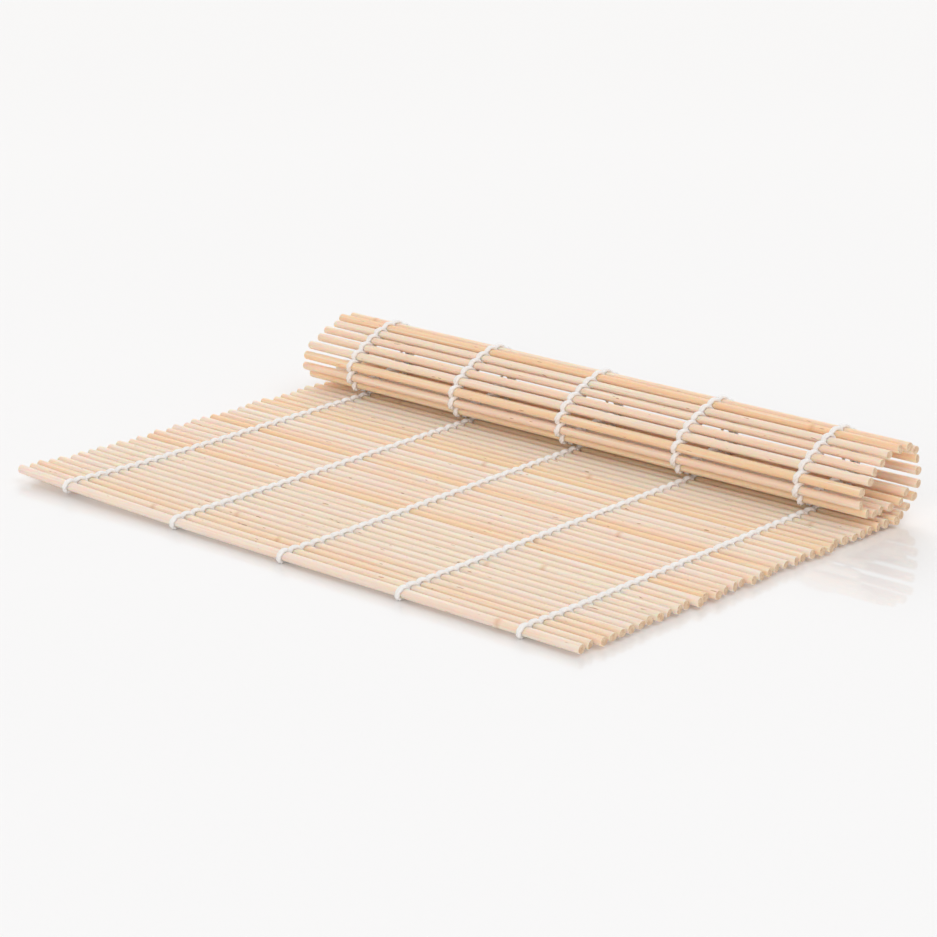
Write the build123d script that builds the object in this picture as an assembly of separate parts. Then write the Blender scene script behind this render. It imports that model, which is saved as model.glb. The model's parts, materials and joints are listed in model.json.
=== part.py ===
from build123d import *
import math
import os
from itertools import pairwise

# Sushi rolling mat: bamboo sticks side by side, bound by twined cotton cords. All sizes in mm.
# +X runs along the sticks, +Y from the front edge to the rolled end, +Z up.
# The origin is on the table, halfway along the sticks, and halfway from the front to the rearmost stick.

# Sticks
STICK_COUNT = 57
STICK_LENGTH = 238.6
STICK_DIAMETER = 3.0
END_SCATTER = 0.9  # how far a stick's end stands from the straight line of the edge, at most
FRONT_STICKS = 16  # sticks that lift and roll over at the front edge

# Cords: each is one string, doubled round the front stick into two strands
CORD_PLACES = (-94.5, -44.4, 4.6, 52.1, 99.7)  # on the front stick: tied by hand, so not quite even
CORD_DRIFTS = (-3.1, -5.0, -6.4, -4.9, -4.2)  # how far each has strayed along the sticks by the last one
STRAND_WIDTH = 1.4
STRAND_THICKNESS = 0.7
STRAND_CLEARANCE = 0.075  # between a strand and the stick that it passes
STRANDS_APART = 0.1  # between the two strands where they cross in a gap
TIE_SLACK = 0.033  # what a gap has beyond the strand that crosses it at the tightest bend
KNOT_DIAMETER = 2.0
KNOT_LENGTH = 3.0

# The roll, from the last flat stick to the free end: the bend at each gap
BACK_FOOT = (3, 9, 19)  # degrees
BACK_CORNER = (30, 23)  # degrees
BACK_WALL = (10, 14)  # degrees
TOP_CORNER = (29, 31, 22)  # degrees
FRONT_SLOPE = (11, 5, 2, 7)  # degrees
FRONT_CORNER = (26, 45, 45, 27)  # degrees
INNER_END = (4, 1, 16, 36)  # degrees
ROLL_BENDS = BACK_FOOT + BACK_CORNER + BACK_WALL + TOP_CORNER + FRONT_SLOPE + FRONT_CORNER + INNER_END

# Worked out from the above
STICK_RADIUS = STICK_DIAMETER / 2
WRAP_RADIUS = STICK_RADIUS + STRAND_CLEARANCE + STRAND_THICKNESS / 2  # stick's axis to strand's middle
STICK_HEIGHT = WRAP_RADIUS + STRAND_THICKNESS / 2  # the strands lie under the sticks, on the table
TIGHTEST_BEND = math.radians(max(ROLL_BENDS))
PITCH = 2 * WRAP_RADIUS / math.cos(TIGHTEST_BEND / 2) + TIE_SLACK
SIDE_STEP = (STRAND_WIDTH + STRANDS_APART) / 2  # each strand's middle to the cord's middle, in a gap
FIRST_ROLLED = STICK_COUNT - len(ROLL_BENDS) + 1
GROUP_COUNT = 4  # sticks of the flat middle that share a node
SHARPEST_FOLD = 70  # degrees at one corner of a strand


def stick_axes():
    """Each stick's axis as (point in the YZ plane, direction of the mat there), from the front."""
    angles = [0] * (FIRST_ROLLED - 1)
    for bend in ROLL_BENDS:
        angles.append(angles[-1] + bend)
    gap, axes = Vector(0, -PITCH / 2, STICK_HEIGHT), []
    for angle in angles:
        along = Vector(0, 1, 0).rotate(Axis.X, angle)
        axes.append((gap + along * (PITCH / 2), along))
        gap += along * PITCH
    halfway = Vector(0, (axes[0][0].Y + max(point.Y for point, _ in axes)) / 2, 0)
    return [(point - halfway, along) for point, along in axes]


def scatter(number):
    """How far the right end of this stick, counted from the front, stands out or back.

    The left ends have the same places, counted from the free end."""
    return END_SCATTER * math.sin(2.4 * number) * math.cos(0.9 * number)


def crossings(axes, place, drift):
    """The axes again, each with its point moved to where a cord crosses that stick."""
    step = drift / (STICK_COUNT - 1)
    return [(point + Vector(place + step * n, 0, 0), along) for n, (point, along) in enumerate(axes)]


def stick(number, centre):
    left = -STICK_LENGTH / 2 - scatter(STICK_COUNT + 1 - number)
    right = STICK_LENGTH / 2 + scatter(number)
    start = Plane(origin=(left, centre.Y, centre.Z), z_dir=(1, 0, 0))
    return start * Cylinder(STICK_RADIUS, right - left, align=(Align.CENTER, Align.CENTER, Align.MIN))


def heading(one, other):
    """The direction from one point to another in the YZ plane, in degrees from +Y towards +Z."""
    return math.degrees(math.atan2(other.Z - one.Z, other.Y - one.Y))


def lean(one, other):
    """The angle between two sticks' line of centres and the normal of a strand that crosses their gap.

    The strand runs straight from one side of a stick to the opposite side of the next."""
    return math.degrees(math.acos(2 * WRAP_RADIUS / (other - one).length))


def wrap(centre, arrive, turn, side):
    """A strand's corners round a stick, from the angle where it arrives through the whole turn.

    Side is 1 over the stick and -1 under it. The strand goes over from -X to +X, and back under it."""
    count = math.ceil(abs(turn) / SHARPEST_FOLD)
    reach = WRAP_RADIUS / math.cos(math.radians(turn / count / 2))
    corners = []
    for n in range(count):
        angle = math.radians(arrive + turn * (n + 0.5) / count)
        aside = side * SIDE_STEP * (2 * n / (count - 1) - 1)
        corners.append(centre + Vector(aside, reach * math.cos(angle), reach * math.sin(angle)))
    return corners


def strand(axes, phase):
    """One strand's corners at each stick, as a list for each.

    It passes over a stick and under the next; phase 0 or 1 says which strand starts over."""
    before_first = axes[0][0] - axes[0][1] * PITCH
    after_last = axes[-1][0] + axes[-1][1] * PITCH
    points = [before_first] + [point for point, _ in axes] + [after_last]
    corners = []
    for n, (before, point, after) in enumerate(zip(points, points[1:], points[2:])):
        side = 1 if (n + phase) % 2 == 0 else -1
        come, go = heading(before, point), heading(point, after)
        lean_in, lean_out = lean(before, point), lean(point, after)
        bend = (go - come + 180) % 360 - 180
        turn = bend - side * (180 - lean_in - lean_out)
        corners.append(wrap(point, come + 180 - side * lean_in, turn, side))
    return corners


def fold_line(before, corner, after):
    """Half the tape's thickness, along the line in the YZ plane that halves the turn at a corner."""
    come = Vector(0, corner.Y - before.Y, corner.Z - before.Z).normalized()
    go = Vector(0, after.Y - corner.Y, after.Z - corner.Z).normalized()
    half_turn = math.radians(come.get_angle(go) / 2)
    return (come + go).normalized().rotate(Axis.X, 90) * (STRAND_THICKNESS / 2 / math.cos(half_turn))


def tape(path):
    """A strand as a flat tape that is folded at each corner of its path."""
    beyond_start = path[0] * 2 - path[1]
    beyond_end = path[-1] * 2 - path[-2]
    line = [beyond_start] + path + [beyond_end]
    half = Vector(STRAND_WIDTH / 2, 0, 0)
    rings = []
    for before, corner, after in zip(line, line[1:], line[2:]):
        up = fold_line(before, corner, after)
        rings.append([corner + half + up, corner - half + up, corner - half - up, corner + half - up])
    faces = [Face(Wire.make_polygon(rings[0])), Face(Wire.make_polygon(rings[-1]))]
    for near, far in pairwise(rings):
        for a, b in ((0, 1), (2, 3)):
            faces.append(Face(Wire.make_polygon([near[a], near[b], far[b], far[a]])))
        for a, b in ((1, 2), (3, 0)):
            faces.append(Face(Wire.make_polygon([near[a], near[b], far[b]])))
            faces.append(Face(Wire.make_polygon([near[a], far[b], far[a]])))
    return Solid(Shell(faces))


def middle(one, other):
    """Where a strand crosses a gap: halfway between its corners at the two sticks."""
    return (one[-1] + other[0]) * 0.5


def stretch(corners, first, last):
    """A strand's path past sticks first to last, counted from 0, from mid-gap to mid-gap."""
    path = [middle(corners[first - 1], corners[first])]
    for at_stick in corners[first:last + 1]:
        path += at_stick
    return path + [middle(corners[last], corners[last + 1])]


def doubled_front(axes, over, under, last):
    """The string from mid-gap after stick last, round the front stick, and back to mid-gap."""
    point, after = axes[0][0], axes[1][0]
    round_front = wrap(point, heading(point, after) - 90, -180, 1)
    out = over[0][-1:] + stretch(over, 1, last)[1:]
    back = under[0][-1:] + stretch(under, 1, last)[1:]
    return back[::-1] + round_front + out


def end_stretch(axes, corners, first):
    """A strand's path from the gap before stick first to its end, just past the last stick."""
    path = stretch(corners, first, len(corners) - 2)[:-1] + corners[-1]
    point, along = axes[-1]
    end = point + along * (PITCH / 2)
    return path + [Vector(path[-1].X, end.Y, end.Z)]


def cord(axes):
    """One cord's solids for the front, the flat field and the roll, as a list for each."""
    over, under = strand(axes, 0), strand(axes, 1)
    field, roll = FRONT_STICKS, FIRST_ROLLED - 1
    zones = {
        "front": [doubled_front(axes, over, under, field - 1)],
        "field": [stretch(side, field, roll - 1) for side in (over, under)],
        "roll": [end_stretch(axes, side, roll) for side in (over, under)],
    }
    return {zone: [tape(path) for path in paths] for zone, paths in zones.items()}


def knot(axes):
    """A cord's two strands tied off past the last stick: a small barrel along X."""
    point, along = axes[-1]
    reach = PITCH / 2 + STRAND_THICKNESS / 2 + STRAND_CLEARANCE + KNOT_DIAMETER / 2
    barrel = Cylinder(KNOT_DIAMETER / 2, KNOT_LENGTH)
    rims = barrel.edges().filter_by(GeomType.CIRCLE)
    return Pos(point + along * reach) * Rot(0, 90, 0) * chamfer(rims, KNOT_DIAMETER / 5)


def write(name, solids):
    shape = Compound(label=name, children=solids) if len(solids) > 1 else solids[0]
    shape.label = name
    export_step(shape, f"parts/{name}.step")


def build():
    os.makedirs("parts", exist_ok=True)
    axes = stick_axes()
    sticks = [stick(n + 1, point) for n, (point, _) in enumerate(axes)]
    field = range(FRONT_STICKS + 1, FIRST_ROLLED)
    for n in range(1, STICK_COUNT + 1):
        if n not in field:
            write(f"stick_{n:02d}", [sticks[n - 1]])
    for first in field[::GROUP_COUNT]:
        last = min(first + GROUP_COUNT, FIRST_ROLLED) - 1
        write(f"sticks_{first}_to_{last}", sticks[first - 1:last])
    cord_lines = [crossings(axes, place, drift) for place, drift in zip(CORD_PLACES, CORD_DRIFTS)]
    for n, line in enumerate(cord_lines, 1):
        for zone, solids in cord(line).items():
            write(f"cord_{n}_{zone}", solids)
    write("knots", [knot(line) for line in cord_lines])


build()
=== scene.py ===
import json
import math
import random

import bmesh
import bpy
from mathutils import Matrix, Vector
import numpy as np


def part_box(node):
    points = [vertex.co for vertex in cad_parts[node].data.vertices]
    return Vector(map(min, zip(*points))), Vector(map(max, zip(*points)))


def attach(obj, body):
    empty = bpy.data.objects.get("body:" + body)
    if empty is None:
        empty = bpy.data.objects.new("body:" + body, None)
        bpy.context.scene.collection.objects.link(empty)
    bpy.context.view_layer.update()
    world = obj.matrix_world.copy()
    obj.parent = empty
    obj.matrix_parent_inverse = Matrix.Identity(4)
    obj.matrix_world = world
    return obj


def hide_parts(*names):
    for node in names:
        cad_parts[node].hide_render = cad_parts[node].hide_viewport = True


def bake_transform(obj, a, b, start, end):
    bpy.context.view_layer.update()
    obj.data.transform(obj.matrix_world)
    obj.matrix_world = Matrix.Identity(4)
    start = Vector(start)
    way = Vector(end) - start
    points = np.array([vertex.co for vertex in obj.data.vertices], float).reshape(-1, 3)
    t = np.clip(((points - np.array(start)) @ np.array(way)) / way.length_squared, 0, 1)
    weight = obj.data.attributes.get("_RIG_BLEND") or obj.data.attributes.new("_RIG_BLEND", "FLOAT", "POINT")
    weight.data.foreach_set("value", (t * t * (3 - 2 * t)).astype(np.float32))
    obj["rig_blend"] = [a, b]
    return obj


# Sushi rolling mat: what the CAD frame leaves to the looks. Bamboo sticks with their own grain, tones,
# knuckles and sawn ends, and soft three-ply cotton cords twined round them. Metres throughout.
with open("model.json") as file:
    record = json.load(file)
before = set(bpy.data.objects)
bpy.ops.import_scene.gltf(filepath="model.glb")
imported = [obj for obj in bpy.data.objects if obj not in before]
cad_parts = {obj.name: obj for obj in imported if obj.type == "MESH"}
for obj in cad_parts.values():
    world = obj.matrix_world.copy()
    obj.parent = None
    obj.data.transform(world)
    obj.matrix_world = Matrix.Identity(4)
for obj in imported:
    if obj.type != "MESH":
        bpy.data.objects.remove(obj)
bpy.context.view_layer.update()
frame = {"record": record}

MM = 0.001
ALONG_STICKS = Vector((1, 0, 0))

# The sticks
STICK_RADIUS = 1.5 * MM
FRONT_STICKS = 16  # the sticks that roll over at the front edge
LEFT_EDGE = -119.5 * MM  # the straight lines that the stick ends keep near
RIGHT_EDGE = 120.3 * MM
BOW = 0.16 * MM  # how far a stick's middle strays along the mat, at most
SWAY = 0.12 * MM  # how far its ends stray, at most
LEVEL = 0.05 * MM  # a stick that stands within this of the front one lies flat
BEND_SEED = 1000  # the first of the seeds from which each stick's bend is drawn

# The front left corner, which doesn't lie quite flat
CORNER_LIFT = 1.6 * MM
LIFT_START_X = -10 * MM
LIFT_REACH = 40 * MM  # from the front stick

# The cords' lie: as in the CAD, apart from the slips and the side step
CORD_PLACES = [place * MM for place in (-94.5, -44.4, 4.6, 52.1, 99.7)]  # on the front stick
CORD_DRIFTS = [drift * MM for drift in (-3.1, -5.0, -6.4, -4.9, -4.2)]  # by the last stick
FOLD_SLIPS = [slip * MM for slip in (-1.3, -0.5, -2.1, -0.5, -1.3)]  # further aside on the front stick
SLIP_FADES = 1.8  # sticks over which a slip falls to about a third
WRAP_RADIUS = 1.925 * MM  # stick's axis to the strand's middle
SIDE_STEP = 0.54 * MM  # strand's middle to the cord's middle, in a gap: soft strands press together
SHARPEST_FOLD = 70  # degrees at one point of a strand's route
HALF_PITCH = 2.1 * MM  # from a stick to the middle of a gap

# The string's own make
PLIES = 3
PLY_RADIUS = 0.52 * MM
PLY_SIDES = 6
PLY_TWIST = 5.2 * MM  # length of one full turn of the plies
SPREAD_ON_STICK = 0.56 * MM  # how far the plies lie out to each side where the strand is pressed flat
SPREAD_IN_GAP = 0.42 * MM
PRESSED_FROM = 0.35  # how far a strand runs the mat's way where it starts to be pressed flat, 1 at most
PLY_RISE = 0.13 * MM  # how far the plies stand up and down from the strand's middle
ROUTE_STEPS = 5  # points read from the route's spline for each of its own points
SEARCH = 6 * ROUTE_STEPS  # points of the line among which the next stick's is found


# ---------------------------------------------------------------- where the sticks are


def stick_places():
    """(number, node, body, y, z) of each stick, read from the frame's boxes."""
    found = []
    for body, nodes in frame["record"]["behaviour"]["bodies"].items():
        for node in (n for n in nodes if n.startswith("stick")):
            numbers = [int(word) for word in node.split("_") if word.isdigit()]
            low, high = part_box(node)
            first, last = low.y + STICK_RADIUS, high.y - STICK_RADIUS
            count = numbers[-1] - numbers[0] + 1
            for k in range(count):
                y = first + (last - first) * k / max(count - 1, 1)
                found.append((numbers[0] + k, node, body, y, (low.z + high.z) / 2))
    return sorted(found)


STICK_PLACES = stick_places()
FRONT_Y, FLAT_HEIGHT = STICK_PLACES[0][3:]


def corner_lift(x, y):
    """How far the mat stands off the table here: more towards its front left corner."""
    towards_left = max(0.0, (LIFT_START_X - x) / (LIFT_START_X - LEFT_EDGE))
    towards_front = max(0.0, 1 - (y - FRONT_Y) / LIFT_REACH)
    return CORNER_LIFT * towards_left**2 * towards_front**1.5


class Stick:
    """One bamboo stick: its number from the front, its node and body, and how its axis is bent."""

    def __init__(self, number, node, body, y, z):
        chance = random.Random(BEND_SEED + number)
        self.number, self.node, self.body = number, node, body
        self.y, self.z = y, z
        self.bow = chance.uniform(-BOW, BOW)
        self.sway = chance.uniform(-SWAY, SWAY)
        self.phase = chance.uniform(0, math.tau)
        self.flat = abs(z - FLAT_HEIGHT) < LEVEL

    def axis(self, x):
        """The middle of the stick at x, with its slight bend and the lift of the mat's corner."""
        share = x / RIGHT_EDGE
        along_mat = self.bow * math.cos(share * math.pi / 2 + self.phase) + self.sway * share
        lift = corner_lift(x, self.y) if self.flat else 0.0
        return Vector((x, self.y + along_mat, self.z + lift))


sticks = [Stick(*place) for place in STICK_PLACES]


# ---------------------------------------------------------------- materials


class Value:
    """What a node gives. Arithmetic on a number adds Math nodes."""

    def __init__(self, nodes, socket):
        self.nodes, self.socket = nodes, socket

    def __add__(self, other):
        return self.nodes.math("ADD", self, other)

    def __mul__(self, other):
        return self.nodes.math("MULTIPLY", self, other)

    def __rsub__(self, other):
        return self.nodes.math("SUBTRACT", other, self)

    __radd__, __rmul__ = __add__, __mul__

    def between(self, low, high):
        """0 at low and 1 at high, eased and clamped."""
        sockets = {"Value": self, "From Min": low, "From Max": high}
        return self.nodes.node("ShaderNodeMapRange", {"interpolation_type": "SMOOTHSTEP"}, sockets)


class Nodes:
    """The nodes of one material or of the world."""

    def __init__(self, tree):
        self.tree = tree

    def node(self, kind, settings, sockets, output=0):
        """Adds a node: its settings first, then its sockets by name or number."""
        node = self.tree.nodes.new(kind)
        for name, value in settings.items():
            if name == "stops":
                self.set_stops(node.color_ramp, value)
            else:
                setattr(node, name, value)
        for place, value in sockets.items():
            self.feed(node.inputs[place], value)
        return Value(self, node.outputs[output])

    def feed(self, socket, value):
        """Links a value to a socket, or sets a number, vector or colour on it."""
        if isinstance(value, Value):
            self.tree.links.new(value.socket, socket)
        elif socket.type == "RGBA":
            socket.default_value = (*value, 1.0)
        else:
            socket.default_value = value

    @staticmethod
    def set_stops(ramp, stops):
        while len(ramp.elements) < len(stops):
            ramp.elements.new(1.0)
        for element, (position, colour) in zip(ramp.elements, stops):
            element.position, element.color = position, (*colour, 1.0)

    def math(self, operation, one, other):
        return self.node("ShaderNodeMath", {"operation": operation}, {0: one, 1: other})

    def vector_math(self, operation, one, other):
        return self.node("ShaderNodeVectorMath", {"operation": operation}, {0: one, 1: other})

    def attribute(self, name):
        return self.node("ShaderNodeAttribute", {"attribute_name": name}, {}, output="Fac")

    def object_place(self):
        return self.node("ShaderNodeTexCoord", {}, {}, output="Object")

    def noise(self, vector, scale, detail=2.0, roughness=0.5):
        sockets = {"Vector": vector, "Scale": scale, "Detail": detail, "Roughness": roughness}
        return self.node("ShaderNodeTexNoise", {}, sockets)

    def grain(self, space, along, across, detail=2.0, roughness=0.5):
        """Noise with one scale along the sticks and another across them."""
        drawn_out = self.vector_math("MULTIPLY", space, (along, across, across))
        return self.noise(drawn_out, 1.0, detail, roughness)

    def mix(self, share, one, other):
        """A mix of two colours, which are the node's sockets 6 and 7, and its output 2."""
        return self.node("ShaderNodeMix", {"data_type": "RGBA"}, {0: share, 6: one, 7: other}, output=2)

    def bump(self, height, distance, strength):
        sockets = {"Height": height, "Distance": distance, "Strength": strength}
        return self.node("ShaderNodeBump", {}, sockets)


class Finish(Nodes):
    """One procedural material."""

    def __init__(self, name):
        self.material = bpy.data.materials.new(name)
        self.material.use_nodes = True
        super().__init__(self.material.node_tree)

    def apply(self, **sockets):
        """Feeds the shader's own sockets and gives the material."""
        shader = self.tree.nodes["Principled BSDF"]
        for name, value in sockets.items():
            self.feed(shader.inputs[name.replace("_", " ")], value)
        return self.material


# Bamboo, from the palest stick to the deepest
PINKISH = (0.92, 0.795, 0.715)
IVORY = (0.92, 0.79, 0.68)
CREAM = (0.93, 0.77, 0.64)
PEACH = (0.96, 0.72, 0.58)
STRAW = (0.96, 0.72, 0.50)
HONEY = (0.96, 0.65, 0.42)

# What marks it
FIBRE = (0.90, 0.53, 0.34)
BLEACHED = (0.97, 0.89, 0.79)
FLECK = (0.45, 0.24, 0.12)
KNUCKLE_BROWN = (0.62, 0.38, 0.20)

# Its sawn ends
SAWN_PALE = (0.88, 0.68, 0.49)
SAWN_DARK = (0.76, 0.51, 0.33)
BUNDLE_BROWN = (0.50, 0.28, 0.14)

# Cotton
COTTON_SHADE = (0.96, 0.955, 0.95)
COTTON_WHITE = (0.99, 0.985, 0.985)
SOILED = (0.92, 0.88, 0.85)

GRAIN_SHIFT = {"X": 0.31, "Y": 0.017, "Z": 0.023}  # metres for each 1 of a stick's seed


def grain_space(finish):
    """Object coordinates, moved by each stick's own seed so that no two sticks share a grain."""
    seed = finish.attribute("stick_seed")
    shares = {axis: seed * share for axis, share in GRAIN_SHIFT.items()}
    shift = finish.node("ShaderNodeCombineXYZ", {}, shares)
    return finish.vector_math("ADD", finish.object_place(), shift)


def bamboo_skin():
    """The stick's long side: fine fibres along it, soft tone changes, odd flecks and darker knuckles."""
    finish = Finish("bamboo")
    space = grain_space(finish)
    stops = [(0.0, PINKISH), (0.2, IVORY), (0.4, CREAM), (0.6, PEACH), (0.8, STRAW), (1.0, HONEY)]
    tone = finish.attribute("stick_tone")
    colour = finish.node("ShaderNodeValToRGB", {"stops": stops}, {"Fac": tone})
    streaks = finish.grain(space, 9.0, 700.0)
    colour = finish.mix(streaks.between(0.42, 0.72) * 0.45, colour, PEACH)
    clouds = finish.grain(space, 28.0, 160.0)
    colour = finish.mix(clouds.between(0.5, 0.75) * 0.35, colour, STRAW)
    fibres = finish.grain(space, 30.0, 2600.0, 3.0, 0.6)
    colour = finish.mix(fibres.between(0.45, 0.8) * 0.35, colour, FIBRE)
    pale = finish.grain(space, 18.0, 1200.0, 1.0)
    colour = finish.mix(pale.between(0.52, 0.72) * 0.5, colour, BLEACHED)
    specks = finish.grain(space, 210.0, 1500.0, 1.0)
    colour = finish.mix(specks.between(0.735, 0.79) * 0.75, colour, FLECK)
    colour = finish.mix(finish.attribute("knuckle") * 0.45, colour, KNUCKLE_BROWN)
    return finish.apply(
        Base_Color=colour,
        Roughness=0.42 + 0.22 * fibres,
        Normal=finish.bump(fibres + 0.6 * streaks, 0.12 * MM, 0.55),
        Specular_IOR_Level=0.5,
        Subsurface_Weight=0.7,
        Subsurface_Radius=(1.0, 0.5, 0.25),
        Subsurface_Scale=2.5 * MM,
    )


def bamboo_end():
    """The sawn end: pale wood, stained in places, with the fibre bundles as brown dots."""
    finish = Finish("bamboo_sawn_end")
    across = finish.vector_math("MULTIPLY", grain_space(finish), (0.0, 1.0, 1.0))
    stain = finish.noise(across, 700.0)
    colour = finish.mix(stain.between(0.35, 0.7), SAWN_PALE, SAWN_DARK)
    bundles = finish.node("ShaderNodeTexVoronoi", {}, {"Vector": across, "Scale": 2100.0})
    dot = 1.0 - bundles.between(0.12, 0.34)
    colour = finish.mix(dot * 0.6, colour, BUNDLE_BROWN)
    return finish.apply(
        Base_Color=colour,
        Roughness=0.8,
        Normal=finish.bump(1.0 - dot, 0.1 * MM, 0.5),
        Specular_IOR_Level=0.2,
    )


def cotton():
    """Soft white cotton: fine fuzz, and a little soil here and there."""
    finish = Finish("cotton_string")
    fuzz = finish.noise(finish.object_place(), 5200.0, 3.0, 0.7)
    colour = finish.mix(fuzz.between(0.3, 0.75), COTTON_SHADE, COTTON_WHITE)
    soil = finish.noise(finish.object_place(), 160.0)
    colour = finish.mix(soil.between(0.5, 0.8) * 0.25, colour, SOILED)
    return finish.apply(
        Base_Color=colour,
        Roughness=0.95,
        Normal=finish.bump(fuzz, 0.12 * MM, 0.5),
        Specular_IOR_Level=0.15,
        Sheen_Weight=0.3,
        Sheen_Roughness=0.5,
    )


BAMBOO, SAWN, COTTON = bamboo_skin(), bamboo_end(), cotton()


# ---------------------------------------------------------------- mesh helpers


def ring_matrix(point, along, across, radius, roundness=1.0):
    """Where a tube's ring goes: its middle, the way the tube runs, and how wide it is.

    Across is the direction of its wider radius, and roundness is the other radius's share of it."""
    along = along.normalized()
    across = (across - across.dot(along) * along).normalized()
    up = along.cross(across)
    turned = Matrix((across * radius, up * (radius * roundness), along)).transposed().to_4x4()
    return Matrix.Translation(point) @ turned


def tube(bm, rings, sides, skin=0, end=0):
    """Adds a closed tube through the ring matrices, with a material for its skin and one for its ends.

    It starts as a cylinder of unit height, whose wall is cut into a ring for each matrix."""
    steps = len(rings) - 1
    lifted = Matrix.Translation((0, 0, 0.5))
    new = bmesh.new()
    bmesh.ops.create_cone(new, cap_ends=True, segments=sides, radius1=1, radius2=1, depth=1, matrix=lifted)
    new.normal_update()
    for face in new.faces:
        is_wall = abs(face.normal.z) < 0.5
        face.smooth, face.material_index = is_wall, skin if is_wall else end
    for edge in new.edges:
        edge.smooth = all(face.smooth for face in edge.link_faces)
    uprights = [edge for edge in new.edges if edge.smooth]
    bmesh.ops.subdivide_edges(new, edges=uprights, cuts=steps - 1, use_grid_fill=True)
    for vert in new.verts:
        vert.co = rings[round(vert.co.z * steps)] @ Vector((vert.co.x, vert.co.y, 0))
    mesh = bpy.data.meshes.new("tube")
    new.to_mesh(mesh)
    new.free()
    bm.from_mesh(mesh)
    bpy.data.meshes.remove(mesh)


def piece(name, bm, materials):
    """The finished mesh as an object that sits at the origin, with its faces pointing outwards."""
    bmesh.ops.recalc_face_normals(bm, faces=bm.faces)
    mesh = bpy.data.meshes.new(name)
    bm.to_mesh(mesh)
    bm.free()
    for material in materials:
        mesh.materials.append(material)
    obj = bpy.data.objects.new(name, mesh)
    bpy.context.scene.collection.objects.link(obj)
    return obj


# ---------------------------------------------------------------- bamboo sticks

MAKE_SEED = 40  # the first of the seeds from which each stick's own make is drawn
STICK_SIDES = 18
RING_STEP = 9 * MM
RING_STRAY = 0.2  # of a step, to each side
END_SCATTER = 1.0 * MM
END_SKEW = 0.22  # slope of a sawn end, at most
END_ROUNDING = 0.13 * MM  # length of the worn rim at each end
END_WEAR = 0.8 * END_ROUNDING  # how much the rim is worn down
END_CLEAR = 2 * MM  # other rings keep this far from an end
GIRTHS = (0.94, 1.01)  # a stick's thickness as a share of the CAD's
ROUNDNESS = (0.96, 1.0)
EVENNESS = (0.985, 1.0)  # from ring to ring
THIN_STICKS = (46, 47)  # they leave a slit of light through the roll
THIN_GIRTH = 0.91
KNUCKLE_SHARE = 0.4  # of the sticks have a knuckle, the ring where a leaf grew
KNUCKLE_SPAN = 0.9  # of the stick, in which it may be
KNUCKLE_REACH = 1.6 * MM
KNUCKLE_RISE = 0.07 * MM
KNUCKLE_RINGS = (-1.0, -0.45, 0.0, 0.45, 1.0)

# Places on the skin's range of tones, 0 for the palest: the sticks of the roll are deeper
FLAT_TONES = (0.02, 0.12, 0.24, 0.36, 0.46, 0.58, 0.70, 0.90)
ROLL_TONES = (0.34, 0.52, 0.62, 0.78, 0.88, 0.98)
TONE_STRAY = 0.05
FRONT_TONE = 0.0  # the front stick's
GRAIN_SEEDS = 10  # each stick's grain is drawn from 0 to this


def swell(x, knuckle):
    """How much of a stick's knuckle there is at x: 1 at its middle, 0 away from it or without one."""
    return 0.0 if knuckle is None else max(0.0, 1 - abs(x - knuckle) / KNUCKLE_REACH)


def ring_places(chance, left, right, knuckle):
    """Where along X a stick gets rings: close together at its ends and at its knuckle, if any."""
    count = round((right - left) / RING_STEP)
    step = (right - left) / count
    places = [left + step * k + chance.uniform(-RING_STRAY, RING_STRAY) * step for k in range(1, count)]
    if knuckle is not None:
        near = [knuckle + KNUCKLE_REACH * share for share in KNUCKLE_RINGS]
        places = [x for x in places if abs(x - knuckle) > 2 * KNUCKLE_REACH] + near
    ends = [left, left + END_ROUNDING, right - END_ROUNDING, right]
    return sorted(ends + [x for x in places if left + END_CLEAR < x < right - END_CLEAR])


def stick_rings(stick, chance, left, right, knuckle):
    """The rings of one stick, from its left end to its right."""
    skews = [chance.uniform(-END_SKEW, END_SKEW) for _ in range(4)]
    girth = STICK_RADIUS * (THIN_GIRTH if stick.number in THIN_STICKS else chance.uniform(*GIRTHS))
    roundness = chance.uniform(*ROUNDNESS)
    across = Vector((0, math.cos(stick.phase), math.sin(stick.phase)))
    xs = ring_places(chance, left, right, knuckle)
    aims = [Vector((1, *skews[:2]))] * 2 + [ALONG_STICKS] * (len(xs) - 4) + [Vector((1, *skews[2:]))] * 2
    wear = [END_WEAR] + [0.0] * (len(xs) - 2) + [END_WEAR]
    rings = []
    for x, aim, worn in zip(xs, aims, wear):
        radius = girth * chance.uniform(*EVENNESS) - worn + KNUCKLE_RISE * swell(x, knuckle)
        rings.append(ring_matrix(stick.axis(x), aim, across, radius, roundness))
    return rings


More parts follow.
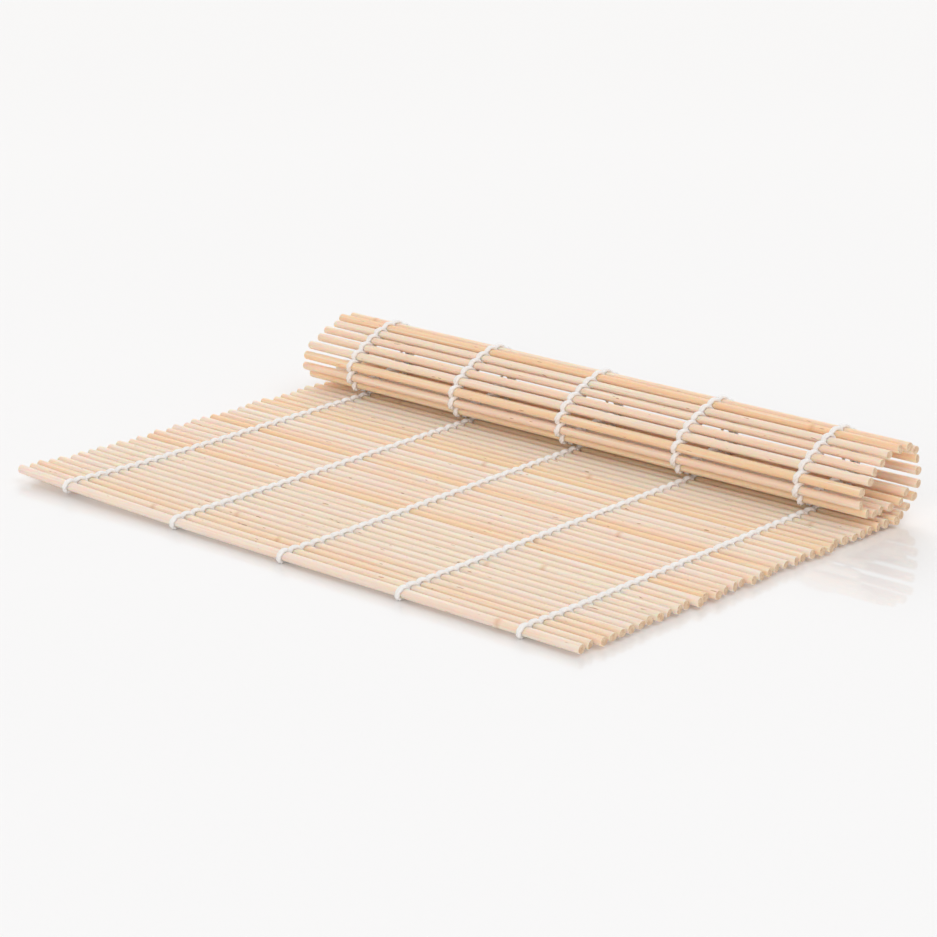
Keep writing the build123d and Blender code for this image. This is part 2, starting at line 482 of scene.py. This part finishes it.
def bamboo_stick(stick):
    """One split and planed stick: not quite round, straight or even, its ends sawn a little askew."""
    chance = random.Random(MAKE_SEED + stick.number)
    left = LEFT_EDGE + chance.uniform(-1, 1) * END_SCATTER
    right = RIGHT_EDGE + chance.uniform(-1, 1) * END_SCATTER
    knuckle = None
    if chance.random() < KNUCKLE_SHARE:
        knuckle = chance.uniform(KNUCKLE_SPAN * LEFT_EDGE, KNUCKLE_SPAN * RIGHT_EDGE)
    rings = stick_rings(stick, chance, left, right, knuckle)
    bm = bmesh.new()
    new_layer = bm.verts.layers.float.new
    shade, tone, seed = [new_layer(name) for name in ("knuckle", "stick_tone", "stick_seed")]
    tube(bm, rings, STICK_SIDES, skin=0, end=1)
    own_tone = chance.choice(FLAT_TONES if stick.flat else ROLL_TONES)
    own_tone += chance.uniform(-TONE_STRAY, TONE_STRAY)
    if stick.number == 1:
        own_tone = FRONT_TONE
    own_seed = chance.uniform(0, GRAIN_SEEDS)
    for vert in bm.verts:
        vert[shade], vert[tone], vert[seed] = swell(vert.co.x, knuckle), own_tone, own_seed
    obj = piece(f"bamboo_stick_{stick.number:02d}", bm, (BAMBOO, SAWN))
    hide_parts(stick.node)
    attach(obj, stick.body)


# ---------------------------------------------------------------- twined cords


def heading(one, other):
    """The direction from one point to another in the YZ plane, in degrees from +Y towards +Z."""
    return math.degrees(math.atan2(other.z - one.z, other.y - one.y))


def lean(one, other):
    """The angle between two sticks' line of centres and the normal of a strand that crosses their gap."""
    return math.degrees(math.acos(min(1.0, 2 * WRAP_RADIUS / (other - one).length)))


def wrap(centre, arrive, turn, side):
    """A strand's route points round a stick. Side is 1 over the stick and -1 under it."""
    count = math.ceil(abs(turn) / SHARPEST_FOLD)
    reach = WRAP_RADIUS / math.cos(math.radians(turn / count / 2))
    points = []
    for n in range(count):
        angle = math.radians(arrive + turn * (n + 0.5) / count)
        aside = side * SIDE_STEP * (2 * n / (count - 1) - 1)
        points.append(centre + Vector((aside, reach * math.cos(angle), reach * math.sin(angle))))
    return points


def beyond(axes):
    """The axes with one more at each end, a pitch further on."""
    return [axes[0] * 2 - axes[1], *axes, axes[-1] * 2 - axes[-2]]


def side_at(n, phase):
    """1 where a strand goes over stick n, counted from 0, and -1 where it goes under it.

    The two strands of a cord have the phases 0 and 1."""
    return 1 if (n + phase) % 2 == 0 else -1


def strand(axes, phase):
    """One strand's route points at each stick. It goes over one stick and under the next."""
    line = beyond(axes)
    route = []
    for n, (before, point, after) in enumerate(zip(line, line[1:], line[2:])):
        side = side_at(n, phase)
        come, go = heading(before, point), heading(point, after)
        lean_in, lean_out = lean(before, point), lean(point, after)
        bend = (go - come + 180) % 360 - 180
        turn = bend - side * (180 - lean_in - lean_out)
        route.append(wrap(point, come + 180 - side * lean_in, turn, side))
    return route


def smooth_route(points):
    """Points along the smooth line that a string takes on this route, read from a NURBS spline."""
    curve = bpy.data.curves.new("route", "CURVE")
    curve.dimensions = "3D"
    curve.resolution_u = ROUTE_STEPS
    spline = curve.splines.new("NURBS")
    spline.points.add(len(points) - 1)
    for control, point in zip(spline.points, points):
        control.co = (*point, 1.0)
    spline.use_endpoint_u = True
    spline.order_u = 3
    holder = bpy.data.objects.new("route", curve)
    bpy.context.scene.collection.objects.link(holder)
    bpy.context.view_layer.update()
    mesh = bpy.data.meshes.new_from_object(holder.evaluated_get(bpy.context.evaluated_depsgraph_get()))
    line = [vert.co.copy() for vert in mesh.vertices]
    bpy.data.objects.remove(holder)
    bpy.data.curves.remove(curve)
    bpy.data.meshes.remove(mesh)
    return line


def nearest(line, target, start, stop):
    """Which point of a stretch of the line is nearest to the target."""
    return min(range(max(start, 0), min(stop, len(line))), key=lambda n: (line[n] - target).length)


def mat_directions(axes):
    """The direction of the mat at each stick."""
    line = beyond(axes)
    return [(after - before).normalized() for before, after in zip(line, line[2:])]


class String:
    """One cord: a single string, doubled round the front stick, its two strands tied at the far end."""

    def __init__(self, place, drift, slip):
        step = drift / (len(sticks) - 1)
        crossings = [place + step * n + slip * math.exp(-n / SLIP_FADES) for n in range(len(sticks))]
        self.axes = [stick.axis(x) for stick, x in zip(sticks, crossings)]
        self.along = mat_directions(self.axes)
        first, second = self.axes[0], self.axes[1]
        round_front = wrap(first, heading(first, second) - 90, -180, 1)
        out, back = [self.leg(strand(self.axes, phase)) for phase in (0, 1)]
        self.line = smooth_route(back[::-1] + round_front + out)
        self.cuts = self.cut()
        self.run = self.measure()

    def leg(self, route):
        """A strand's route points from the front stick to its end, past the last stick in the knot."""
        onward = self.along[-1] * HALF_PITCH
        past = self.axes[-1] + onward
        tail = [Vector((route[-1][-1].x, past.y, past.z)), past + onward * 0.5]
        return route[0][-1:] + [point for at_stick in route[1:] for point in at_stick] + tail

    def cut(self):
        """For each strand, the points of the line where it lies on the middle of each stick.

        That is where one piece of the cords ends and the next begins."""
        middle = nearest(self.line, self.axes[0] - self.along[0] * WRAP_RADIUS, 0, len(self.line))
        cuts = []
        for direction, phase in ((1, 0), (-1, 1)):
            marks, at = [], middle
            for n, (axis, along) in enumerate(zip(self.axes, self.along)):
                out = Vector((0, -along.z, along.y)) * side_at(n, phase)
                span = (at + 1, at + SEARCH) if direction > 0 else (at - SEARCH, at)
                at = nearest(self.line, axis + out * WRAP_RADIUS, *span)
                marks.append(at)
            cuts.append(marks)
        return cuts

    def measure(self):
        """How far along the string each point lies."""
        run = [0.0]
        for one, other in zip(self.line, self.line[1:]):
            run.append(run[-1] + (other - one).length)
        return run

    def direction(self, n):
        """Which way the string runs at point n of the line."""
        return (self.line[min(n + 1, len(self.line) - 1)] - self.line[max(n - 1, 0)]).normalized()

    def spread(self, n):
        """How far the plies lie out sideways: more where the strand is pressed on a stick."""
        point = self.line[n]
        near = min(range(len(self.axes)), key=lambda k: (self.axes[k] - point).length_squared)
        flat = abs(self.direction(n).dot(self.along[near]))
        pressed = max(0.0, (flat - PRESSED_FROM) / (1 - PRESSED_FROM))
        return SPREAD_IN_GAP + (SPREAD_ON_STICK - SPREAD_IN_GAP) * pressed

    def ply_point(self, n, ply):
        """The middle of one ply beside point n of the line."""
        along = self.direction(n)
        across = (ALONG_STICKS - along.x * along).normalized()
        up = along.cross(across)
        angle = math.tau * (self.run[n] / PLY_TWIST + ply / PLIES)
        off = across * (self.spread(n) * math.cos(angle)) + up * (PLY_RISE * math.sin(angle))
        point = self.line[n] + off
        point.z = max(point.z, PLY_RADIUS)
        return point

    def add_plies(self, bm, first, last):
        """The three plies from one point of the line to another, as tubes."""
        reach = range(max(first - 1, 0), min(last + 2, len(self.line)))
        for ply in range(PLIES):
            middles = {n: self.ply_point(n, ply) for n in reach}
            rings = []
            for n in range(first, last + 1):
                ahead, behind = middles.get(n + 1, middles[n]), middles.get(n - 1, middles[n])
                rings.append(ring_matrix(middles[n], ahead - behind, ALONG_STICKS, PLY_RADIUS))
            tube(bm, rings, PLY_SIDES)

    def add_stretch(self, bm, n):
        """Both strands from the middle of stick n to the middle of stick n + 1, counted from 0."""
        for marks in self.cuts:
            self.add_plies(bm, *sorted((marks[n], marks[n + 1])))

    def add_fold(self, bm):
        """The string round the front of the first stick, from its top to its underside."""
        self.add_plies(bm, self.cuts[1][0], self.cuts[0][0])

    def add_tails(self, bm):
        """Both strands from the middle of the last stick to the knot."""
        self.add_plies(bm, self.cuts[0][-1], len(self.line) - 1)
        self.add_plies(bm, 0, self.cuts[1][-1])


KNOT_TURNS = 3
KNOT_STEPS = 14  # rings in each turn
KNOT_SIDES = 8
KNOT_PLACE = 3.6 * MM  # from the last stick's axis
KNOT_REACH = 0.62 * MM  # from the knot's middle to the middle of its string
KNOT_HALF_LENGTH = 1.15 * MM
KNOT_STRING = 0.52 * MM
TAIL_LENGTH = 4.5 * MM
TAIL_RADII = ((0.0, KNOT_STRING), (0.5, 0.5 * MM), (0.85, 0.48 * MM), (1.0, 0.6 * MM))  # its end frays
TAIL_SPLAY = 0.6  # how far a cut end leans aside for each 1 along the mat
TAIL_DROP = 0.2


def add_knot(string, bm):
    """The two strands drawn into a tight barrel, with two short cut ends."""
    along = string.along[-1]
    up = Vector((0, -along.z, along.y))
    centre = string.axes[-1] + along * KNOT_PLACE
    points = []
    for n in range(KNOT_TURNS * KNOT_STEPS + 1):
        share = n / (KNOT_TURNS * KNOT_STEPS)
        angle = math.tau * KNOT_TURNS * share
        off = along * math.cos(angle) + up * math.sin(angle)
        points.append(centre + off * KNOT_REACH + ALONG_STICKS * (KNOT_HALF_LENGTH * (2 * share - 1)))
    rings = []
    for n, point in enumerate(points):
        ahead, behind = points[min(n + 1, len(points) - 1)], points[max(n - 1, 0)]
        rings.append(ring_matrix(point, ahead - behind, ALONG_STICKS, KNOT_STRING))
    tube(bm, rings, KNOT_SIDES)
    for side in (-1, 1):
        start = centre + ALONG_STICKS * (side * KNOT_HALF_LENGTH * 0.5)
        way = (along + ALONG_STICKS * (side * TAIL_SPLAY) - up * TAIL_DROP).normalized()
        rings = []
        for share, radius in TAIL_RADII:
            rings.append(ring_matrix(start + way * (TAIL_LENGTH * share), way, Vector((0, 1, 1)), radius))
        tube(bm, rings, KNOT_SIDES)


BLEND_MARGIN = 0.3  # of the way between two sticks, at each end, where a cord keeps to its stick

strings = [String(*lie) for lie in zip(CORD_PLACES, CORD_DRIFTS, FOLD_SLIPS)]


def cotton_piece(name, fill, *nodes):
    """One piece of all five cords, which stands for these CAD nodes."""
    bm = bmesh.new()
    for string in strings:
        fill(string, bm)
    obj = piece(name, bm, (COTTON,))
    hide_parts(*nodes)
    return obj


def cord_nodes(zone):
    """The CAD's nodes of all five cords in one zone: the front, the field or the roll."""
    return [f"cord_{n}_{zone}" for n in range(1, len(CORD_PLACES) + 1)]


def gap_zone(one, other):
    """The zone that the gap between two sticks is in. The field is one body."""
    if one.body == other.body:
        return "field"
    return "front" if one.number <= FRONT_STICKS else "roll"


def lay_cords():
    """The cords in stretches from stick to stick. Each bends with the two sticks that it joins."""
    for n, (one, other) in enumerate(zip(sticks, sticks[1:])):
        name = f"cords_{one.number:02d}_to_{other.number:02d}"
        nodes = cord_nodes(gap_zone(one, other))
        obj = cotton_piece(name, lambda string, bm: string.add_stretch(bm, n), *nodes)
        if one.body == other.body:
            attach(obj, one.body)
            continue
        start, end = one.axis(0), other.axis(0)
        margin = (end - start) * BLEND_MARGIN
        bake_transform(obj, one.body, other.body, start=start + margin, end=end - margin)
    fold = cotton_piece("cords_round_front_stick", String.add_fold, *cord_nodes("front"))
    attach(fold, sticks[0].body)
    tails = cotton_piece("cord_ends", String.add_tails, *cord_nodes("roll"))
    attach(tails, sticks[-1].body)
    knots = cotton_piece("cord_knots", add_knot, "knots")
    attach(knots, sticks[-1].body)


for stick in sticks:
    bamboo_stick(stick)
lay_cords()


# ---------------------------------------------------------------- table, light and camera

TABLE_WHITE = (0.945, 0.945, 0.95)
TABLE_REACH = 12.0
SKY_WHITE = (1.0, 0.985, 0.97)
SKY_LIGHT = 0.5
SKY_SEEN = 0.95  # what the camera and the table's gloss see
KEY_WHITE = (1.0, 1.03, 1.06)  # the two together light the table white
FILL_WHITE = (1.0, 0.92, 0.84)
SOFTBOXES = (  # name, azimuth from +Y towards +X, elevation, how wide it looks, strength and colour
    ("softbox_behind", -43, 28, 30, 1.3, KEY_WHITE),
    ("softbox_above", 60, 70, 60, 0.65, KEY_WHITE),
    ("softbox_front", 160, 20, 50, 1.0, FILL_WHITE),
)


def table():
    """A wide glossy white table top that keeps the mat's soft shadow and a faint reflection."""
    bm = bmesh.new()
    bmesh.ops.create_grid(bm, x_segments=1, y_segments=1, size=TABLE_REACH)
    gloss = Finish("table_white").apply(Base_Color=TABLE_WHITE, Roughness=0.03, Specular_IOR_Level=0.45)
    piece("table", bm, (gloss,))


def softbox(name, azimuth, elevation, width, strength, colour):
    """A distant softbox that the glossy table doesn't mirror. Its angles are in degrees."""
    data = bpy.data.lights.new(name, "SUN")
    data.angle, data.energy, data.color = math.radians(width), strength, colour
    obj = bpy.data.objects.new(name, data)
    obj.visible_glossy = False
    turn, rise = math.radians(azimuth), math.radians(elevation)
    level = math.cos(rise)
    towards = Vector((level * math.sin(turn), level * math.cos(turn), math.sin(rise)))
    obj.rotation_mode = "QUATERNION"
    obj.rotation_quaternion = towards.to_track_quat("Z", "Y")
    bpy.context.scene.collection.objects.link(obj)


def studio():
    """White all round, brighter to the eye than as a light, and the softboxes."""
    world = bpy.data.worlds.new("studio")
    bpy.context.scene.world = world
    world.use_nodes = True
    nodes = Nodes(world.node_tree)
    by_camera = nodes.node("ShaderNodeLightPath", {}, {}, output="Is Camera Ray")
    by_gloss = nodes.node("ShaderNodeLightPath", {}, {}, output="Is Glossy Ray")
    levels = {"Value": by_camera + by_gloss, "To Min": SKY_LIGHT, "To Max": SKY_SEEN}
    strength = nodes.node("ShaderNodeMapRange", {}, levels)
    sky = world.node_tree.nodes["Background"]
    nodes.feed(sky.inputs["Color"], SKY_WHITE)
    nodes.feed(sky.inputs["Strength"], strength)
    for lamp in SOFTBOXES:
        softbox(*lamp)


# The camera, worked out from the stick ends and cords in the photograph
IMAGE_SIDE = 937
FOCAL_PIXELS = 3025.66
SENSOR_WIDTH = 36.0
CAMERA_PLACE = Vector((0.62300, -0.66835, 0.29998))
CAMERA_YAW = math.radians(-42.782)
CAMERA_PITCH = math.radians(17.606)  # downwards
CAMERA_ROLL = math.radians(-0.481)


def camera():
    """A camera that stands and looks as the photograph's did."""
    level = math.cos(CAMERA_PITCH)
    ahead = Vector((math.sin(CAMERA_YAW) * level, math.cos(CAMERA_YAW) * level, -math.sin(CAMERA_PITCH)))
    aside = Vector((math.cos(CAMERA_YAW), -math.sin(CAMERA_YAW), 0))
    above = aside.cross(ahead)
    right = aside * math.cos(CAMERA_ROLL) + above * math.sin(CAMERA_ROLL)
    up = above * math.cos(CAMERA_ROLL) - aside * math.sin(CAMERA_ROLL)
    data = bpy.data.cameras.new("camera")
    data.sensor_width = SENSOR_WIDTH
    data.lens = FOCAL_PIXELS / IMAGE_SIDE * SENSOR_WIDTH
    data.clip_start, data.clip_end = 0.05, 50.0
    obj = bpy.data.objects.new("camera", data)
    obj.matrix_world = Matrix.Translation(CAMERA_PLACE) @ Matrix((right, up, -ahead)).transposed().to_4x4()
    bpy.context.scene.collection.objects.link(obj)
    bpy.context.scene.camera = obj


table()
studio()
camera()
bpy.context.scene.view_settings.view_transform = "Standard"

bpy.context.view_layer.update()
